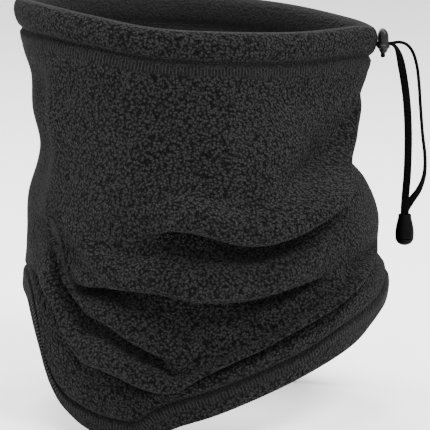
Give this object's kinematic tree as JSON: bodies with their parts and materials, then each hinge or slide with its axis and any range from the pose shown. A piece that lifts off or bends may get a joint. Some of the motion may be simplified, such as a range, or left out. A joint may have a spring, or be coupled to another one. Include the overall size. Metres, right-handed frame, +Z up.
{
  "type": "neck gaiter",
  "caption": "Slouched fleece neck tube with sewn hems, a drawcord channel round the top, a sprung cord lock and a weighted cord end.",
  "frame": {"origin": "under the middle of the tube, on the surface that the lowest front and back arcs of the hem stand on", "axes": "+Z up along the tube, the wearer faces -Y, +X towards the cord lock"},
  "size_m": [0.2017, 0.1793, 0.204],
  "materials": {
    "fleece": "charcoal pebbled polar fleece, matt",
    "thread": "black polyester sewing thread",
    "braid": "black flat braided cord",
    "plastic": "black moulded acetal, satin",
    "spring_steel": "drawn spring wire"
  },
  "bodies": {
    "root": {"fleece_tube": "fleece", "top_hem_stitch": "thread", "top_hem_ladder": "thread", "bottom_hem_stitch": "thread", "bottom_hem_ladder": "thread", "closing_seam": "thread", "drawcord_in_channel": "braid"},
    "cord_lock": {"lock_barrel": "plastic", "lock_spring": "spring_steel", "cord_strand_front": "braid", "cord_strand_back": "braid", "cord_knot": "braid", "cord_end_bell": "plastic", "cord_end_plug": "plastic"},
    "plunger": {"lock_plunger": "plastic"}
  },
  "joints": [
    {"name": "cord_draw", "type": "slide", "parent": "root", "child": "cord_lock", "axis": [1, 0, 0], "range_m": [0, 0.02]},
    {"name": "plunger_press", "type": "slide", "parent": "cord_lock", "child": "plunger", "axis": [0, 0, 1], "range_m": [0, 0.0015], "stiffness_N_per_m": 400, "springref_m": -0.004, "deforming": ["lock_spring"]}
  ]
}
